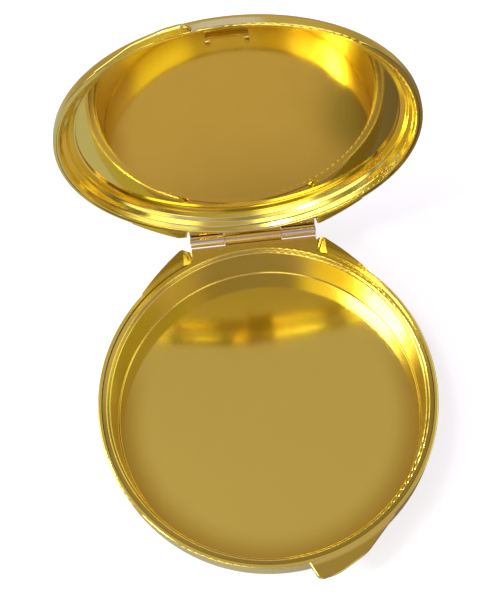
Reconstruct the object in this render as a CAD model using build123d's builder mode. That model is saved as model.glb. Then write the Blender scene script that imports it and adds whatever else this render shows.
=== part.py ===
from build123d import *
import os
from math import atan2, cos, degrees, hypot, radians, sin, tan

# A pyx: a small round hinged case, pressed from thin brass and plated, which carries hosts.
# It stands open, as in use: the base lies flat and the lid stands up behind it on its hinge.
# The origin is the middle of the base's flat underside, +Z is up and the hinge is at +Y.
# All sizes are in millimetres. Plan angles turn from +X, so the front of the case is at 270.

# Case
outer_radius = 27.0
case_sheet = 0.6
liner_sheet = 0.35
parting_gap = 0.1
rim_round = 0.22
fit_gap = 0.05
flange_drop = 0.04

# Base
pan_depth = 9.45
band_height = 5.4
foot_inset = 1.1
foot_round = 1.2
band_round = 4.0
pan_clearance = 0.17
floor_round = 0.2
upper_ledge_width = 0.83
upper_ledge_drop = 0.42
lower_ledge_width = 0.34
lower_ledge_drop = 1.35
ledge_round = 0.22
ledge_cove = 0.06

# Lid
open_angle = 96.0
lid_sheet = 0.45
shoulder_angle = 38.0
shoulder_round = 1.2
crown_gap = 0.12
crown_angle = 4.0
crown_flat_radius = 12.0
crown_round = 150.0
crown_edge_round = 1.5
bezel_lip_width = 0.45
bezel_lip_height = 0.12
upper_cove_draw = 0.3
upper_cove_height = 1.0
bead_inset = 1.0
bead_height = 1.5
lower_cove_inset = 1.25
lower_cove_height = 2.05
ledge_inset = 1.95
bezel_ledge_height = 2.45
bezel_ledge_width = 0.3
lip_round = 0.3
cove_round = 0.5
bead_round = 0.3
foot_cove = 0.3
plate_seat_width = 0.45
plate_sheet = 0.25

# Hinge lugs: flat corners beside the hinge on both halves
lug_half_width = 11.7
lug_tail_angle = 46.7
lug_tail_step = 0.12
lug_tail_run_angle = 2.0
lug_bulge = 0.45
base_lug_gap = 1.1
lid_lug_gap = 1.7
lug_depth = 1.9
lug_taper_angle = 20.0
lug_foot_round = 0.15

# Thumb tabs: one on each half, on opposite sides of the front
tab_thickness = 0.7
tab_round = 1.1
tab_shoulder_round = 7.0
tab_edge_round = 0.28
tab_tip_angle = 2.3
tab_flat_angle = 8.2
tab_bend_angle = 18.7
tab_tail_angle = 33.2
tab_bend_share = 0.69
tab_tail_step = 0.15
base_tab_angle = 277.3
base_tab_reach = 2.75
lid_tab_angle = 261.5
lid_tab_reach = 1.3

# Hinge
hinge_offset = 0.8
hinge_shift = 0.5
barrel_radius = 0.95
hinge_sheet = 0.35
pin_clearance = 0.04
middle_knuckle_length = 9.4
end_knuckle_length = 5.6
knuckle_gap = 0.08
curl_angle = 300.0
base_leaf_setback = 0.95
lid_leaf_setback = 0.9
recess_margin = 0.2
base_recess_run = 1.3
lid_recess_run = 0.25
pin_overhang = 0.1
pin_round = 0.25

# Catch: a spring tongue inside the lid's front rim
catch_clearance = 0.15
catch_angle = 13.0
catch_bridge_reach = 0.25
catch_prong_reach = 1.1
catch_prong_depth = 0.5
catch_prong_width = 0.6

# Places worked out from those sizes
inner_radius = outer_radius - case_sheet
liner_lip = inner_radius - fit_gap
floor_z = case_sheet + liner_sheet
parting_z = floor_z + pan_depth
band_bottom = parting_z - band_height
foot_radius = outer_radius - foot_inset
taper_angle = degrees(atan2(foot_inset, band_bottom))
foot_corner = foot_radius - case_sheet * tan(radians(45 - taper_angle / 2))
floor_radius = foot_corner - pan_clearance - liner_sheet
riser_radius = liner_lip - upper_ledge_width
wall_radius = riser_radius - lower_ledge_width
lid_inner_radius = outer_radius - lid_sheet
bezel_outer_radius = lid_inner_radius - fit_gap
bezel_lip_radius = bezel_outer_radius - bezel_lip_width
window_radius = bezel_lip_radius - ledge_inset - bezel_ledge_width
plate_radius = window_radius + plate_seat_width
plate_height = bezel_ledge_height + liner_sheet
hinge_reach = outer_radius + hinge_offset
hinge_z = parting_z + parting_gap / 2
lid_hinge_height = hinge_z - parting_z - parting_gap
recess_depth = barrel_radius - parting_gap / 2
bore_radius = barrel_radius - hinge_sheet
pin_radius = bore_radius - pin_clearance
hinge_length = middle_knuckle_length + 2 * (end_knuckle_length + knuckle_gap)
recess_half = hinge_length / 2 + recess_margin
base_leaf_rear = hinge_reach - base_leaf_setback
lid_leaf_rear = hinge_reach - lid_leaf_setback
catch_radius = riser_radius - catch_clearance

# The lid's frame: its rim plane, turned back about the hinge from where it lies when closed
swing_y = -hinge_reach
swing_z = parting_gap / 2
lid_cos = cos(radians(open_angle))
lid_sin = sin(radians(open_angle))
lid_origin = Vector(
    0,
    hinge_reach + lid_cos * swing_y + lid_sin * swing_z,
    hinge_z - lid_sin * swing_y + lid_cos * swing_z,
)
base_rim = Plane.XY.offset(parting_z)
lid_rim = Plane(origin=lid_origin, x_dir=(1, 0, 0), z_dir=(0, lid_sin, lid_cos))
base_flange = base_rim.offset(-flange_drop)
lid_flange = lid_rim.offset(flange_drop)
lid_axis = Axis(lid_origin, lid_rim.z_dir)
lid_section = Plane(origin=lid_origin, x_dir=(1, 0, 0), z_dir=lid_rim.y_dir * -1)


def polar(radius, angle):
    """Plan point at a radius and an angle."""
    return radius * cos(radians(angle)), radius * sin(radians(angle))


def sheet_back(face, rounds, sheet):
    """Back of a pressed sheet, one sheet to the right of its face, with the rounds of its corners."""
    steps = [(b[0] - a[0], b[1] - a[1]) for a, b in zip(face, face[1:])]
    normals = [(dy / hypot(dx, dy), -dx / hypot(dx, dy)) for dx, dy in steps]
    before = [normals[0]] + normals
    after = normals + [normals[-1]]
    back = []
    for point, one, two in zip(face, before, after):
        reach = sheet / (1 + one[0] * two[0] + one[1] * two[1])
        back.append((point[0] + reach * (one[0] + two[0]), point[1] + reach * (one[1] + two[1])))
    back_rounds = []
    for size, one, two in zip(rounds, normals, normals[1:]):
        turn = one[0] * two[1] - one[1] * two[0]
        back_rounds.append(size + sheet / 2 if turn > 0 else max(size - sheet, 0))
    return back, back_rounds


def pressed_outline(face, rounds, sheet):
    """Closed outline of a pressed sheet: its face and its back."""
    back, back_rounds = sheet_back(face, rounds, sheet)
    points = face + back[::-1]
    return FilletPolyline(*points, radius=[0, *rounds, 0, 0, *back_rounds[::-1], 0], close=True)


def hinge_lug(plane, rear, away):
    """Flat corner block behind the case, under the hinge, drawn in as it goes away from the parting."""
    tail_x, tail_y = polar(outer_radius + lug_tail_step, lug_tail_angle)
    root_x, root_y = polar(inner_radius - lug_depth, lug_tail_angle - lug_tail_run_angle)
    corner_round = lug_foot_round + lug_depth * tan(radians(lug_taper_angle))
    side = hypot(tail_x - lug_half_width, rear - tail_y)
    bulge_round = side * side / (5 * lug_bulge)
    bulge_x = (lug_half_width + tail_x) / 2 + lug_bulge * (rear - tail_y) / side
    bulge_y = (rear + tail_y) / 2 + lug_bulge * (tail_x - lug_half_width) / side
    with BuildPart() as lug:
        with BuildSketch(plane):
            with BuildLine():
                FilletPolyline(
                    (-root_x, root_y),
                    (-tail_x, tail_y),
                    (-bulge_x, bulge_y),
                    (-lug_half_width, rear),
                    (lug_half_width, rear),
                    (bulge_x, bulge_y),
                    (tail_x, tail_y),
                    (root_x, root_y),
                    radius=[0, 0, bulge_round, corner_round, corner_round, bulge_round, 0, 0],
                    close=True,
                )
            make_face()
        extrude(amount=away * lug_depth, taper=lug_taper_angle)
    return lug.part


def thumb_tab(plane, start, turn, reach, away):
    """Flat finger tab: a steep end beside the front, and a long curved tail that runs into the rim."""
    with BuildPart() as tab:
        with BuildSketch(plane):
            with BuildLine():
                FilletPolyline(
                    polar(inner_radius, start),
                    polar(outer_radius + reach, start + turn * tab_tip_angle),
                    polar(outer_radius + reach, start + turn * tab_flat_angle),
                    polar(outer_radius + reach * tab_bend_share, start + turn * tab_bend_angle),
                    polar(outer_radius + tab_tail_step, start + turn * tab_tail_angle),
                    polar(inner_radius, start + turn * tab_tail_angle),
                    radius=[0, tab_round, tab_shoulder_round, tab_shoulder_round, 0, 0],
                    close=True,
                )
            make_face()
        extrude(amount=away * tab_thickness)
        levels = tab.edges().group_by(Axis(plane.origin, plane.z_dir))
        fillet(levels[0] + levels[-1], tab_edge_round)
    return tab.part


def hinge_recess(rim, end_run, away):
    """Room for the hinge leaves: a pocket with sloped ends, open to the parting and to the rear."""
    section = Plane(origin=rim.origin, x_dir=rim.x_dir, z_dir=rim.y_dir * -1)
    floor = away * recess_depth
    mouth = -away * parting_gap
    mouth_half = recess_half + end_run * (1 + parting_gap / recess_depth)
    with BuildPart() as recess:
        with BuildSketch(section):
            with BuildLine():
                Polyline(
                    (hinge_shift - recess_half, floor),
                    (hinge_shift + recess_half, floor),
                    (hinge_shift + mouth_half, mouth),
                    (hinge_shift - mouth_half, mouth),
                    close=True,
                )
            make_face()
        extrude(amount=-2 * outer_radius)
    return recess.part


def knuckle(side_plane, start_x, length, axis_height, above, leaf_start):
    """One rolled knuckle with the strip of leaf that it is curled from, above or below the pin."""
    outside = axis_height + above * barrel_radius
    inside = axis_height + above * bore_radius
    sweep = -above * curl_angle
    with BuildPart() as barrel:
        with BuildSketch(side_plane.offset(start_x)):
            with BuildLine():
                outer = CenterArc((hinge_reach, axis_height), barrel_radius, above * 90, sweep)
                inner = CenterArc((hinge_reach, axis_height), bore_radius, above * 90, sweep)
                Line(outer @ 1, inner @ 1)
                Polyline(outer @ 0, (leaf_start, outside), (leaf_start, inside), inner @ 0)
            make_face()
        extrude(amount=length)
    return barrel.part


# Base shell: the outer cup, with the hinge lug, its recess and the thumb tab
with BuildPart() as base_shell:
    with BuildSketch(Plane.XZ):
        with BuildLine():
            FilletPolyline(
                (0, 0),
                (foot_radius, 0),
                (outer_radius, band_bottom),
                (outer_radius, parting_z),
                (0, parting_z),
                radius=[0, foot_round, band_round, rim_round, 0],
                close=True,
            )
        make_face()
    revolve(axis=Axis.Z)
    add(hinge_lug(base_flange, hinge_reach - base_lug_gap, -1))
    add(thumb_tab(base_flange, base_tab_angle, 1, base_tab_reach, -1))
    with BuildSketch(Plane.XZ):
        with BuildLine():
            FilletPolyline(
                (0, case_sheet),
                (foot_corner, case_sheet),
                (inner_radius, band_bottom + case_sheet * tan(radians(taper_angle / 2))),
                (inner_radius, parting_z + parting_gap),
                (0, parting_z + parting_gap),
                radius=[0, foot_round - case_sheet, band_round - case_sheet, 0, 0],
                close=True,
            )
        make_face()
    revolve(axis=Axis.Z, mode=Mode.SUBTRACT)
    add(hinge_recess(base_rim, base_recess_run, -1), mode=Mode.SUBTRACT)
base_shell.part.label = "base_shell"

# Base pan: the inner dish, with a stepped lip that takes the lid's catch
with BuildPart() as base_pan:
    lower_ledge = parting_z - lower_ledge_drop
    upper_ledge = parting_z - upper_ledge_drop
    with BuildSketch(Plane.XZ):
        with BuildLine():
            pressed_outline(
                [
                    (0, floor_z),
                    (floor_radius, floor_z),
                    (wall_radius, lower_ledge),
                    (riser_radius, lower_ledge),
                    (riser_radius, upper_ledge),
                    (liner_lip, upper_ledge),
                ],
                [floor_round, ledge_round, ledge_cove, ledge_round],
                liner_sheet,
            )
        make_face()
    revolve(axis=Axis.Z)
base_pan.part.label = "base_pan"

# Base hinge leaf: the plate in the base's recess, curled into the middle knuckle
middle_start = hinge_shift - middle_knuckle_length / 2
with BuildPart() as base_hinge_leaf:
    with BuildSketch(Plane.XY.offset(parting_z - recess_depth)):
        with Locations((hinge_shift, base_leaf_rear)):
            Rectangle(hinge_length, base_leaf_rear, align=(Align.CENTER, Align.MAX))
        Circle(inner_radius, mode=Mode.SUBTRACT)
    extrude(amount=hinge_sheet)
    strip_start = base_leaf_rear - hinge_sheet
    add(knuckle(Plane.YZ, middle_start, middle_knuckle_length, hinge_z, -1, strip_start))
base_hinge_leaf.part.label = "base_hinge_leaf"

# Hinge pin: a plain wire through all three knuckles
with BuildPart() as hinge_pin:
    pin_length = hinge_length + 2 * pin_overhang
    with BuildSketch(Plane.YZ.offset(hinge_shift - pin_length / 2)):
        with Locations((hinge_reach, hinge_z)):
            Circle(pin_radius)
    extrude(amount=pin_length)
    fillet(hinge_pin.edges().filter_by(GeomType.CIRCLE), pin_round)
hinge_pin.part.label = "hinge_pin"

# Lid shell: the outer cover with a sloped shoulder and a slightly crowned top, its hinge lug,
# recess and thumb tab. Its outside is worked out from the plate, which it just clears.
half_turn = radians((shoulder_angle - crown_angle) / 2)
mean_angle = radians((shoulder_angle + crown_angle) / 2)
shoulder_radius = plate_radius + lid_sheet * sin(mean_angle) / cos(half_turn)
shoulder_height = plate_height + plate_sheet + crown_gap + lid_sheet * cos(mean_angle) / cos(half_turn)
lid_wall_height = shoulder_height - (outer_radius - shoulder_radius) * tan(radians(shoulder_angle))
crown_height = shoulder_height + (shoulder_radius - crown_flat_radius) * tan(radians(crown_angle))
lid_outside = [
    (0, crown_height),
    (crown_flat_radius, crown_height),
    (shoulder_radius, shoulder_height),
    (outer_radius, lid_wall_height),
    (outer_radius, 0),
]
lid_rounds = [crown_round, crown_edge_round, shoulder_round]
lid_inside, inside_rounds = sheet_back(lid_outside, lid_rounds, lid_sheet)
with BuildPart() as lid_shell:
    with BuildSketch(lid_section):
        with BuildLine():
            FilletPolyline(
                *lid_outside,
                (0, 0),
                radius=[0, *lid_rounds, rim_round, 0],
                close=True,
            )
        make_face()
    revolve(axis=lid_axis)
    add(hinge_lug(lid_flange, hinge_reach - lid_lug_gap, 1))
    add(thumb_tab(lid_flange, lid_tab_angle, -1, lid_tab_reach, 1))
    with BuildSketch(lid_section):
        with BuildLine():
            FilletPolyline(
                *lid_inside[:-1],
                (lid_inner_radius, -parting_gap),
                (0, -parting_gap),
                radius=[0, *inside_rounds, 0, 0],
                close=True,
            )
        make_face()
    revolve(axis=lid_axis, mode=Mode.SUBTRACT)
    add(hinge_recess(lid_rim, lid_recess_run, 1), mode=Mode.SUBTRACT)
lid_shell.part.label = "lid_shell"

# Lid bezel: the ring inside the lid's rim, whose ledge holds the plate
with BuildPart() as lid_bezel:
    with BuildSketch(lid_section):
        with BuildLine():
            pressed_outline(
                [
                    (bezel_outer_radius, bezel_lip_height),
                    (bezel_lip_radius, bezel_lip_height),
                    (bezel_lip_radius - upper_cove_draw, upper_cove_height),
                    (bezel_lip_radius - bead_inset, bead_height),
                    (bezel_lip_radius - lower_cove_inset, lower_cove_height),
                    (bezel_lip_radius - ledge_inset, bezel_ledge_height),
                    (window_radius, bezel_ledge_height),
                ],
                [lip_round, cove_round, bead_round, foot_cove, foot_cove],
                liner_sheet,
            )
        make_face()
    revolve(axis=lid_axis)
lid_bezel.part.label = "lid_bezel"

# Lid plate: the polished disc that lies behind the bezel's ledge
with BuildPart() as lid_plate:
    with BuildSketch(lid_rim.offset(plate_height)):
        Circle(plate_radius)
    extrude(amount=plate_sheet)
lid_plate.part.label = "lid_plate"

# Lid hinge leaf: the plate in the lid's recess, curled into a knuckle at each end
lid_side = Plane(origin=lid_origin, x_dir=lid_rim.y_dir, z_dir=(1, 0, 0))
with BuildPart() as lid_hinge_leaf:
    with BuildSketch(lid_rim.offset(recess_depth - hinge_sheet)):
        with Locations((hinge_shift, lid_leaf_rear)):
            Rectangle(hinge_length, lid_leaf_rear, align=(Align.CENTER, Align.MAX))
        Circle(lid_inner_radius, mode=Mode.SUBTRACT)
    extrude(amount=hinge_sheet)
    strip_start = lid_leaf_rear - hinge_sheet
    for start in (hinge_shift - hinge_length / 2, hinge_shift + hinge_length / 2 - end_knuckle_length):
        add(knuckle(lid_side, start, end_knuckle_length, lid_hinge_height, 1, strip_start))
lid_hinge_leaf.part.label = "lid_hinge_leaf"

# Lid catch: a curved bridge on the bezel at the front, with a prong folded in at each end
with BuildPart() as lid_catch:
    bead_rise = (bead_height - upper_cove_height) / (bead_inset - upper_cove_draw)
    root_radius = bezel_lip_radius - bead_inset - fit_gap
    root_height = bead_height - fit_gap
    bend_height = root_height - bead_rise * (catch_radius - root_radius)
    catch_start = 270 - catch_angle / 2
    radial = lid_rim.x_dir * cos(radians(catch_start)) + lid_rim.y_dir * sin(radians(catch_start))
    catch_plane = Plane(origin=lid_origin, x_dir=radial, z_dir=radial.cross(lid_rim.z_dir))
    with BuildSketch(catch_plane):
        with BuildLine():
            pressed_outline(
                [
                    (root_radius, root_height),
                    (catch_radius, bend_height),
                    (catch_radius, -catch_bridge_reach),
                ],
                [ledge_round],
                hinge_sheet,
            )
        make_face()
    revolve(axis=lid_axis, revolution_arc=catch_angle)
    prong_angle = degrees(catch_prong_width / catch_radius)
    prong_outside = catch_radius - hinge_sheet / 2
    prong_inside = catch_radius - hinge_sheet - catch_prong_depth
    for start in (catch_start, catch_start + catch_angle - prong_angle):
        prong_ray = lid_rim.x_dir * cos(radians(start)) + lid_rim.y_dir * sin(radians(start))
        prong_plane = Plane(origin=lid_origin, x_dir=prong_ray, z_dir=prong_ray.cross(lid_rim.z_dir))
        with BuildSketch(prong_plane):
            with BuildLine():
                FilletPolyline(
                    (prong_outside, bend_height),
                    (prong_inside, bend_height),
                    (prong_inside, -catch_prong_reach),
                    (prong_outside, -catch_prong_reach),
                    radius=[0, catch_prong_depth / 2, catch_prong_depth / 2, 0],
                    close=True,
                )
            make_face()
        revolve(axis=lid_axis, revolution_arc=prong_angle)
lid_catch.part.label = "lid_catch"

os.makedirs("parts", exist_ok=True)
export_step(base_shell.part, "parts/base_shell.step")
export_step(base_pan.part, "parts/base_pan.step")
export_step(base_hinge_leaf.part, "parts/base_hinge_leaf.step")
export_step(hinge_pin.part, "parts/hinge_pin.step")
export_step(lid_shell.part, "parts/lid_shell.step")
export_step(lid_bezel.part, "parts/lid_bezel.step")
export_step(lid_plate.part, "parts/lid_plate.step")
export_step(lid_hinge_leaf.part, "parts/lid_hinge_leaf.step")
export_step(lid_catch.part, "parts/lid_catch.step")
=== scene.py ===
from collections import namedtuple

import bpy
from mathutils import Matrix, Vector

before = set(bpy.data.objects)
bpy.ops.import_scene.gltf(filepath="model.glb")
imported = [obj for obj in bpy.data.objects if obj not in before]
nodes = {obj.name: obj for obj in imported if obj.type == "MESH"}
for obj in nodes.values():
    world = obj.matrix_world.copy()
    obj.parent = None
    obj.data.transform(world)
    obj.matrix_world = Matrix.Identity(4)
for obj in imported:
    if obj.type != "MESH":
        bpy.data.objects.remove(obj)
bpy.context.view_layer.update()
scene = bpy.context.scene
scene.view_settings.view_transform = "Standard"

MM = 0.001
CASE_R = 27.0 * MM

# Colours, linear, and the stains and painted shade on them: a colour, and how much of it shows where it
# is full
WHITE = (1, 1, 1)
GOLD = (0.95, 0.80, 0.19)
PALE_GOLD = (0.95, 0.83, 0.36)
BROWN_GOLD = (0.86, 0.66, 0.19)
CLOUDED = (0.97, 0.95, 0.9)
SPECK = ((0.55, 0.36, 0.09), 0.55)
# The next three are painted shade: in corners, on the pan floor along its front edge, and on the rim's
# ledges
CORNER_PAINTED_SHADE = ((0.40, 0.26, 0.045), 0.8)
FLOOR_EDGE_PAINTED_SHADE = ((0.62, 0.42, 0.06), 1.0)
LEDGE_PAINTED_SHADE = ((0.36, 0.26, 0.035), 0.8)
WORN = ((0.95, 0.83, 0.60), 0.85)
BROWN_BEYOND_RIM = ((0.50, 0.36, 0.06), 0.65)

# Where each wear and painted shade begins and where it is full, as a height, a radius or a place from
# hinge to front
FLOOR_Z = (1.6 * MM, 1.05 * MM)
FLOOR_RIM_R = (19.5 * MM, 25.5 * MM)
FLOOR_RIM_Y = (14 * MM, 2 * MM)
BUFFED_Y = (9 * MM, -13 * MM)
WALL_FOOT_Z = (1.2 * MM, 2.0 * MM)
WALL_TOP_Z = (8.9 * MM, 8.3 * MM)
WALL_FRONT_Y = (-1 * MM, -11 * MM)
LEDGE_Z = (8.6 * MM, 9.0 * MM)
LEDGE_Y = (10 * MM, -4 * MM)
LOWER_LEDGE_R = (25.26 * MM, 25.34 * MM)
LOWER_LEDGE_END_R = (25.58 * MM, 25.5 * MM)
UPPER_LEDGE_R = (25.68 * MM, 25.78 * MM)
BAND_FOOT_Z = (5.2 * MM, 5.5 * MM)
BAND_TOP_Z = (10.1 * MM, 9.8 * MM)
BAND_R = (CASE_R - 0.05 * MM, CASE_R - 0.02 * MM)
TAB_AND_LUG_R = (27.1 * MM, 27.6 * MM)

# Pattern, roughness and relief of the finishes
CLOUD_SCALE = 120.0
HAIRLINE_SCALE = (9000.0, 260.0, 260.0)
HAIRLINE_TURN = (0.4, 0.9, 0.6)
HAIRLINE_CUT = (0.5, 0.74)
SPECK_SCALE = 420.0
SPECK_SIZE = 0.028
SPECK_CUT = 0.93
GRAIN_SCALE = 2600.0
CORNER_SIZE = 0.5 * MM
CORNER_CUT = (0.8, 0.3)
BUFFED_ROUGHNESS = (0.085, 0.105)
WORN_ROUGHNESS = 0.09
BAND_ROUGHNESS = 0.3
HAIRLINE_ROUGHNESS = 0.03
HAIRLINE_DEPTH = 0.06
GRAIN_DEPTH = 0.03
RELIEF = 0.0004 * MM
REEDS = 300.0
REED_DEPTH = 0.03 * MM


class Graph:
    """Shorthand for building a node tree."""

    def __init__(self, tree):
        self.tree = tree

    def add(self, kind, inputs=None, **settings):
        made = self.tree.nodes.new("ShaderNode" + kind)
        for key, value in settings.items():
            setattr(made, key, value)
        for key, value in (inputs or {}).items():
            self.feed(made, key, value)
        return made

    def feed(self, made, key, value):
        if isinstance(value, bpy.types.NodeSocket):
            self.tree.links.new(value, made.inputs[key])
        else:
            made.inputs[key].default_value = value

    def math(self, operation, *values):
        made = self.add("Math", operation=operation)
        for i, value in enumerate(values):
            self.feed(made, i, value)
        return made.outputs[0]

    def product(self, first, *others):
        for value in others:
            first = self.math("MULTIPLY", first, value)
        return first

    def ramp(self, value, start, end, low=0.0, high=1.0, smooth=True):
        kind = "SMOOTHSTEP" if smooth else "LINEAR"
        made = self.add("MapRange", {"Value": value, "From Min": start, "From Max": end,
                                     "To Min": low, "To Max": high}, interpolation_type=kind)
        return made.outputs["Result"]

    def noise(self, place, scale, detail=2.0):
        made = self.add("TexNoise", {"Vector": place, "Scale": scale, "Detail": detail})
        return made.outputs["Fac"]

    def mix(self, factor, a, b):
        made = self.add("Mix", data_type="RGBA")
        self.feed(made, "Factor", factor)
        for key, value in (("A", a), ("B", b)):
            socket = [s for s in made.inputs if s.name == key and s.type == "RGBA"][0]
            if isinstance(value, bpy.types.NodeSocket):
                self.tree.links.new(value, socket)
            else:
                socket.default_value = (*value, 1.0)
        return [s for s in made.outputs if s.type == "RGBA"][0]


def material(name):
    mat = bpy.data.materials.new(name)
    mat.use_nodes = True
    return mat, Graph(mat.node_tree), mat.node_tree.nodes["Principled BSDF"]


# A point of the case: its coordinates, and its distance from the case's upright axis
Place = namedtuple("Place", "x y z reach")


def place_of(g, vector):
    x, y, z = g.add("SeparateXYZ", {"Vector": vector}).outputs
    reach = g.math("SQRT", g.math("ADD", g.math("POWER", x, 2.0), g.math("POWER", y, 2.0)))
    return Place(x, y, z, reach)


def stain_and_shade(g, tone, cover, mark):
    color, share = mark
    return g.mix(g.product(cover, share), tone, color)


def pan_wear_and_shade(g, at, tone, roughness):
    """A buffed floor, painted shade along its front edge, a front wall worn pale, and painted shade on
    the ledges in the rim.
    """
    on_floor = g.ramp(at.z, *FLOOR_Z)
    # Painted shade: the floor is darkened along its edge towards the front, below the front wall
    rim = g.product(g.ramp(at.reach, *FLOOR_RIM_R), g.ramp(at.y, *FLOOR_RIM_Y), on_floor)
    tone = stain_and_shade(g, tone, rim, FLOOR_EDGE_PAINTED_SHADE)
    # The plating is worn paler and softer on the front wall
    worn = g.product(g.ramp(at.z, *WALL_FOOT_Z), g.ramp(at.z, *WALL_TOP_Z), g.ramp(at.y, *WALL_FRONT_Y))
    tone = stain_and_shade(g, tone, worn, WORN)
    # Painted shade: the rim's two ledges are darkened, and their rounded edges are left bright
    lower = g.product(g.ramp(at.reach, *LOWER_LEDGE_R), g.ramp(at.reach, *LOWER_LEDGE_END_R))
    shaded_ledge = g.math("MAXIMUM", lower, g.ramp(at.reach, *UPPER_LEDGE_R))
    shaded_ledge = g.product(shaded_ledge, g.ramp(at.z, *LEDGE_Z), g.ramp(at.y, *LEDGE_Y))
    tone = stain_and_shade(g, tone, shaded_ledge, LEDGE_PAINTED_SHADE)
    # The floor is buffed towards the hinge and duller towards the front
    buffed = g.ramp(at.y, *BUFFED_Y, *BUFFED_ROUGHNESS)
    level = g.math("ADD", roughness, g.product(on_floor, g.math("SUBTRACT", buffed, roughness)))
    level = g.math("ADD", level, g.product(worn, WORN_ROUGHNESS))
    return tone, level, None


def case_wear(g, at, tone, roughness):
    """A satin band of fine upright reeds, and a browner tab and hinge lug."""
    tone = stain_and_shade(g, tone, g.ramp(at.reach, *TAB_AND_LUG_R), BROWN_BEYOND_RIM)
    band = g.product(g.ramp(at.z, *BAND_FOOT_Z), g.ramp(at.z, *BAND_TOP_Z), g.ramp(at.reach, *BAND_R))
    level = g.math("ADD", roughness, g.product(band, BAND_ROUGHNESS - roughness))
    ridge = g.math("SINE", g.product(g.math("ARCTAN2", at.y, at.x), REEDS))
    return tone, level, g.product(ridge, band)


def gold(name, roughness, color=GOLD, haze=0.015, wear=None):
    """Plated brass: a bright finish with a soft haze, hairline wiping marks, grain, a few specks, and
    painted shade in its corners.
    """
    mat, g, shader = material(name)
    shader.inputs["Metallic"].default_value = 1.0
    place = g.add("TexCoord").outputs["Object"]
    cloud = g.noise(place, CLOUD_SCALE, detail=3.0)
    # Hairlines: noise drawn out along one direction, turned so that it follows no edge
    lines = g.add("Mapping", {"Vector": place, "Rotation": HAIRLINE_TURN, "Scale": HAIRLINE_SCALE})
    hairline = g.ramp(g.noise(lines.outputs["Vector"], 1.0), *HAIRLINE_CUT)
    # Specks: the middles of a few cells
    cells = g.add("TexVoronoi", {"Vector": place, "Scale": SPECK_SCALE}, feature="F1").outputs
    picked = g.add("SeparateColor", {"Color": cells["Color"]}).outputs[0]
    speck = g.product(g.math("LESS_THAN", cells["Distance"], SPECK_SIZE),
                      g.math("GREATER_THAN", picked, SPECK_CUT))

    tone = g.mix(cloud, color, tuple(c * k for c, k in zip(color, CLOUDED)))
    tone = stain_and_shade(g, tone, speck, SPECK)
    # Painted shade: the colour is darkened in corners, creases and gaps, where ambient occlusion finds
    # them
    hollow = g.add("AmbientOcclusion", {"Distance": CORNER_SIZE}, samples=6).outputs["AO"]
    tone = stain_and_shade(g, tone, g.ramp(hollow, *CORNER_CUT), CORNER_PAINTED_SHADE)
    level, reeds = roughness, None
    # A part's own wear, and in the pan its painted shade too
    if wear:
        tone, level, reeds = wear(g, place_of(g, place), tone, roughness)
    g.feed(shader, "Base Color", tone)

    rough = g.math("ADD", level, g.ramp(cloud, 0.3, 0.7, -haze, haze, smooth=False))
    g.feed(shader, "Roughness", g.math("ADD", rough, g.product(hairline, HAIRLINE_ROUGHNESS)))

    height = g.math("ADD", g.product(g.noise(place, GRAIN_SCALE), GRAIN_DEPTH),
                    g.product(hairline, -HAIRLINE_DEPTH))
    bump = g.add("Bump", {"Height": height, "Strength": 1.0, "Distance": RELIEF})
    if reeds is not None:
        bump = g.add("Bump", {"Height": reeds, "Strength": 1.0, "Distance": REED_DEPTH,
                              "Normal": bump.outputs["Normal"]})
    g.feed(shader, "Normal", bump.outputs["Normal"])
    return mat


case_gold = gold("case_gold", 0.12, wear=case_wear)
lid_gold = gold("lid_gold", 0.12)
pan_gold = gold("pan_gold", 0.14, wear=pan_wear_and_shade)
plate_gold = gold("plate_gold", 0.035, haze=0.01)
hinge_gold = gold("hinge_gold", 0.1, color=PALE_GOLD)
leaf_gold = gold("leaf_gold", 0.2, color=BROWN_GOLD)

finish_of = {
    "base_shell": case_gold,
    "base_pan": pan_gold,
    "base_hinge_leaf": leaf_gold,
    "hinge_pin": hinge_gold,
    "lid_shell": lid_gold,
    "lid_bezel": lid_gold,
    "lid_plate": plate_gold,
    "lid_hinge_leaf": hinge_gold,
    "lid_catch": hinge_gold,
}
for name, mat in finish_of.items():
    slots = nodes[name].data.materials
    slots.clear()
    slots.append(mat)


# The floor: where each part of it begins and is full, in metres, its colours and its brightness, and
# the painted shadow and painted light that the metal mirrors in it
HALF = 1.5
FLOOR_DROP = 0.02 * MM
UNDER_CASE_R = 24 * MM
RIGHT_X = (-0.01, 0.035)
BEHIND_Y = (0.05, 0.11)
FAR_R = (0.11, 0.24)
PAPER = (0.5, 0.5, 0.52)
TABLE_LEFT = (0.15, 0.15, 0.22)
TABLE_PAINTED_SHADOW = (0.12, 0.092, 0.09)
TABLE_BEHIND = (0.17, 0.13, 0.085)
TABLE_FAR = (0.07, 0.055, 0.04)
WARM_TINT = (1, 0.78, 0.6)
PAPER_GLOW = 0.62
LEFT_PAINTED_LIGHT, RIGHT_PAINTED_LIGHT, BEHIND_PAINTED_LIGHT = 0.3, 0.08, 0.3
FAR_SHARE = 0.4


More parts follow.
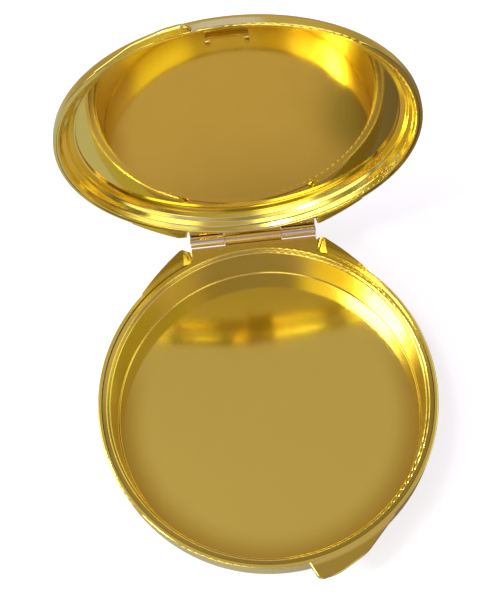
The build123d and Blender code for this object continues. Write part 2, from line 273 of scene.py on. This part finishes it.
def floor_paper():
    """White to the camera. In the metal it is a dimmer table, darker at the right under a painted
    shadow, with painted light that glows at the left and warmer behind.
    """
    mat, g, shader = material("floor_paper")
    spot = g.add("TexCoord").outputs["Object"]
    x, y, _ = g.add("SeparateXYZ", {"Vector": spot}).outputs
    away = g.add("VectorMath", {0: spot}, operation="LENGTH").outputs["Value"]
    right = g.ramp(x, *RIGHT_X)
    behind = g.ramp(y, *BEHIND_Y)
    far = g.ramp(away, *FAR_R)
    path = g.add("LightPath").outputs
    direct = g.math("MAXIMUM", path["Is Camera Ray"], path["Is Transmission Ray"])

    # The table that the metal mirrors: a painted shadow makes it darker at the right, and it is warmer
    # behind and dark far off
    table = g.mix(right, TABLE_LEFT, TABLE_PAINTED_SHADOW)
    table = g.mix(behind, table, TABLE_BEHIND)
    table = g.mix(far, table, TABLE_FAR)
    g.feed(shader, "Base Color", g.mix(path["Is Camera Ray"], table, PAPER))
    shader.inputs["Roughness"].default_value = 0.9
    shader.inputs["Specular IOR Level"].default_value = 0.1

    # Painted light seen only in the metal: the table glows at the left and behind, and little at the
    # right, in its painted shadow
    painted_light_in_metal = g.product(g.ramp(right, 0.0, 1.0, LEFT_PAINTED_LIGHT, RIGHT_PAINTED_LIGHT, smooth=False),
                         g.ramp(far, 0.0, 1.0, 1.0, FAR_SHARE, smooth=False))
    painted_light_in_metal = g.math("MAXIMUM", painted_light_in_metal, g.product(behind, BEHIND_PAINTED_LIGHT))
    glow = g.math("ADD", g.product(direct, PAPER_GLOW), g.product(path["Is Glossy Ray"], painted_light_in_metal))
    tint = g.mix(g.math("MAXIMUM", right, behind), WHITE, WARM_TINT)
    g.feed(shader, "Emission Strength", glow)
    g.feed(shader, "Emission Color", g.mix(direct, tint, WHITE))

    # Clear from below and under the case, so that it doesn't hide the case's underside
    clear = g.math("MAXIMUM", g.add("NewGeometry").outputs["Backfacing"],
                   g.math("LESS_THAN", away, UNDER_CASE_R))
    surface = g.add("MixShader", {"Fac": clear, 1: shader.outputs["BSDF"],
                                  2: g.add("BsdfTransparent").outputs["BSDF"]})
    g.feed(mat.node_tree.nodes["Material Output"], "Surface", surface.outputs["Shader"])
    return mat


# The floor lies a hair below the case, so that the two faces don't mix
corners = [(-HALF, -HALF, 0), (HALF, -HALF, 0), (HALF, HALF, 0), (-HALF, HALF, 0)]
floor_mesh = bpy.data.meshes.new("floor")
floor_mesh.from_pydata(corners, [], [(0, 1, 2, 3)])
floor_mesh.materials.append(floor_paper())
floor = bpy.data.objects.new("floor", floor_mesh)
scene.collection.objects.link(floor)
floor.location.z = -FLOOR_DROP

# The room that the metal mirrors. A patch is a direction, the cosines of the angles from it at which
# the patch begins and is full, and a colour. Later patches lie over earlier ones.
CEILING = (0.468, 0.375, 0.316)
DAYLIGHT = (0.535, 0.45, 1.35)
DIM_HORIZON = (0.15, 0.12, 0.075)
HORIZON_UP = (0.55, 0.15)
BELOW = (0.6, 0.58, 0.55)
BELOW_UP = (-0.05, -0.3)
HORIZON = (
    ((0, -1, 0.05), 0.35, 0.85, (0.42, 0.36, 0.20)),
    ((0, 1, 0.1), 0.3, 0.8, (0.50, 0.38, 0.22)),
)
PATCHES = (
    # Daylight in front and at the right, a pale wall, and daylight over the lid
    ((0, -0.66, 0.75), 0.86, 0.95, DAYLIGHT),
    ((0.60, -0.28, 0.74), 0.94, 0.975, (0.55, 0.48, 1.2)),
    ((0.62, 0.28, 0.72), 0.90, 0.97, (1.1, 1.12, 0.95)),
    ((0.0, 0.69, 0.72), 0.93, 0.985, (0.58, 0.57, 1.5)),
    # Low lamps at the right and in front
    ((0.92, -0.1, 0.38), 0.93, 0.98, (1.3, 1.25, 1.0)),
    ((-0.27, -0.94, 0.22), 0.963, 0.987, (2.8, 2.7, 1.9)),
    ((0.50, -0.84, 0.22), 0.965, 0.988, (2.3, 2.2, 1.3)),
    # Windows at the left, from low to high
    ((-0.88, -0.1, 0.46), 0.86, 0.95, (1.8, 1.75, 1.4)),
    ((-0.66, 0.05, 0.75), 0.9135, 0.978, (1.9, 1.85, 1.6)),
    ((-0.40, -0.03, 0.92), 0.955, 0.985, (2.4, 2.3, 1.9)),
    # Smaller things overhead: a warm one, a dim one, and a dark one in the daylight
    ((-0.30, -0.22, 0.93), 0.985, 0.996, (1.0, 0.82, 0.25)),
    ((0.34, 0.0, 0.94), 0.965, 0.99, (0.36, 0.30, 0.14)),
    ((0.10, -0.645, 0.757), 0.9990, 0.9996, (0.20, 0.185, 0.45)),
)
VIEWER = ((0.02, -0.40, 0.92), 0.955, 0.985, (0.10, 0.09, 0.06))
VIEWER_SHARE = 0.6
WHITE_IN_METAL = 0.03

world = bpy.data.worlds.new("room")
scene.world = world
world.use_nodes = True
room = Graph(world.node_tree)
toward = room.add("TexCoord").outputs["Generated"]
up = room.add("SeparateXYZ", {"Vector": toward}).outputs["Z"]


def lay(sky, patch, share=1.0):
    direction, begins, full, color = patch
    middle = Vector(direction).normalized()
    cosine = room.add("VectorMath", {0: toward, 1: middle}, operation="DOT_PRODUCT").outputs["Value"]
    cover = room.ramp(cosine, begins, full)
    return room.mix(room.product(cover, share), sky, color)


horizon = DIM_HORIZON
for patch in HORIZON:
    horizon = lay(horizon, patch)
sky = room.mix(room.ramp(up, *HORIZON_UP), CEILING, horizon)
for patch in PATCHES:
    sky = lay(sky, patch)
sky = lay(sky, VIEWER, VIEWER_SHARE)
sky = room.mix(room.ramp(up, *BELOW_UP), sky, BELOW)
# White behind the object, and only a trace of that in the metal, which mirrors a dimmer room
path = room.add("LightPath").outputs
white = room.math("MAXIMUM", path["Is Camera Ray"], path["Is Transmission Ray"])
white = room.math("MAXIMUM", white, room.product(path["Is Glossy Ray"], WHITE_IN_METAL))
room.feed(world.node_tree.nodes["Background"], "Color", room.mix(white, sky, WHITE))


def softbox(name, place, across, along, power):
    """A rectangular lamp that faces the case."""
    lamp = bpy.data.lights.new(name, "AREA")
    lamp.shape = "RECTANGLE"
    lamp.size = across
    lamp.size_y = along
    lamp.energy = power
    obj = bpy.data.objects.new(name, lamp)
    scene.collection.objects.link(obj)
    obj.location = place
    obj.rotation_euler = (-Vector(place)).to_track_quat("-Z", "Y").to_euler()


softbox("upper_window", (-0.264, 0.024, 0.752), 0.18, 0.14, 1.1)
softbox("lower_window", (-0.50, -0.12, 0.616), 0.13, 0.13, 2.1)

# Camera at the photo's place, from a fit: the focal length in pixels, the place in case radii from
# a point on the case's axis, and the turn from looking straight down
FOCUS = 1265.18
PHOTO_HEIGHT = 600
SENSOR = 36
FIT_Z = 0.95 * MM
PLACE = (0.02695 * CASE_R, -2.06911 * CASE_R, 7.5039 * CASE_R + FIT_Z)
TURN = Vector((0.35836, 0.03587, -0.10396))
camera = bpy.data.cameras.new("camera")
camera.sensor_width = SENSOR
camera.lens = FOCUS / PHOTO_HEIGHT * SENSOR
camera.clip_start = 5 * MM
view = bpy.data.objects.new("camera", camera)
scene.collection.objects.link(view)
view.matrix_world = Matrix.Translation(PLACE) @ Matrix.Rotation(TURN.length, 4, TURN.normalized())
scene.camera = view
